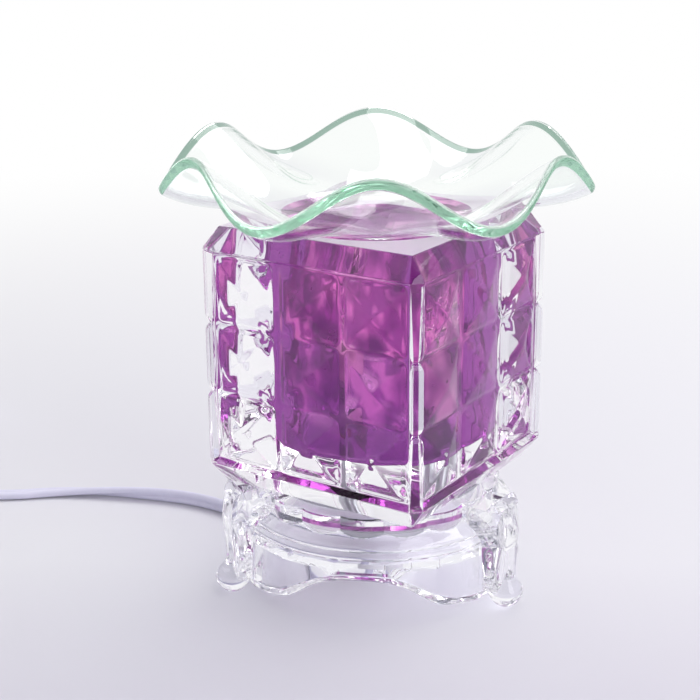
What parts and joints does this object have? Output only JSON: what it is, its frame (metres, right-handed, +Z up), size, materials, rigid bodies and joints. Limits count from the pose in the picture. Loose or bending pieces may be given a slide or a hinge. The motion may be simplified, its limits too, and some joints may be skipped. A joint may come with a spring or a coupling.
{
  "type": "wax melt warmer",
  "caption": "Electric wax melt warmer: a ruffled clear glass dish rests on a square pressed-glass lamp block over a fluted glass base, with a dimmer on its flat lead.",
  "frame": {"origin": "on the table, under the lamp's upright axis", "axes": "+Z up along the lamp's axis, -X the way the lead leaves under the base, faces of the square body square to X and Y"},
  "size_m": [0.3932, 0.1388, 0.1477],
  "materials": {
    "clear_glass": "fire-polished pressed glass",
    "lacquered_glass": "pressed glass, its well lacquered purple inside",
    "float_glass": "slumped float glass with a ground green edge",
    "clear_pvc": "soft clear pvc",
    "zinc_steel": "zinc plated",
    "rubber": "pale rubber",
    "white_plastic": "moulded",
    "fibre": "pressed fibre",
    "ceramic": "glazed steatite",
    "spring_steel": "bright spring sheet",
    "silicone_sleeve": "silicone sleeve",
    "quartz": "clear quartz",
    "pin_metal": "bright wire",
    "flex_pvc": "pale lavender-white pvc",
    "case_plastic": "satin moulding",
    "knob_plastic": "smooth moulding",
    "board_laminate": "phenolic laminate",
    "dark_plastic": "moulded",
    "tie_plastic": "moulded strap",
    "blade_brass": "nickel-plated"
  },
  "bodies": {
    "stand": {"glass_base": "clear_glass", "glass_body": "lacquered_glass", "base_gasket": "clear_pvc", "threaded_pipe": "zinc_steel", "rubber_washer": "rubber", "steel_washer": "zinc_steel", "base_nut": "zinc_steel", "pipe_bushing": "white_plastic", "fibre_washer": "fibre", "holder_saddle": "zinc_steel", "saddle_locknut": "zinc_steel", "lamp_holder": "ceramic", "holder_screws": "zinc_steel", "contact_springs": "spring_steel", "lead_wires": "silicone_sleeve", "cord": "flex_pvc", "cord_coil": "flex_pvc", "dimmer_reliefs": "flex_pvc", "plug_relief": "flex_pvc", "plug_body": "flex_pvc", "dimmer_tray": "case_plastic", "dimmer_cover": "case_plastic", "dimmer_screws": "zinc_steel", "dimmer_board": "board_laminate", "dimmer_pot": "dark_plastic", "coil_tie": "tie_plastic", "plug_blades": "blade_brass"},
    "dish": {"glass_dish": "float_glass"},
    "bulb": {"bulb_glass": "quartz", "bulb_pins": "pin_metal", "bulb_filament": "pin_metal"},
    "dimmer_dial": {"dimmer_knob": "knob_plastic"}
  },
  "joints": [
    {"name": "dish_lift", "type": "slide", "parent": "stand", "child": "dish", "axis": [0, 0, 1], "range_m": [0, 0.05]},
    {"name": "bulb_pull", "type": "slide", "parent": "stand", "child": "bulb", "axis": [0, 0, 1], "range_m": [0, 0.012]},
    {"name": "dimmer_turn", "type": "hinge", "parent": "stand", "child": "dimmer_dial", "pos_m": [-0.23672, 0.01072, 0.0168], "axis": [0, 0, -1], "range_deg": [0, 270]}
  ]
}
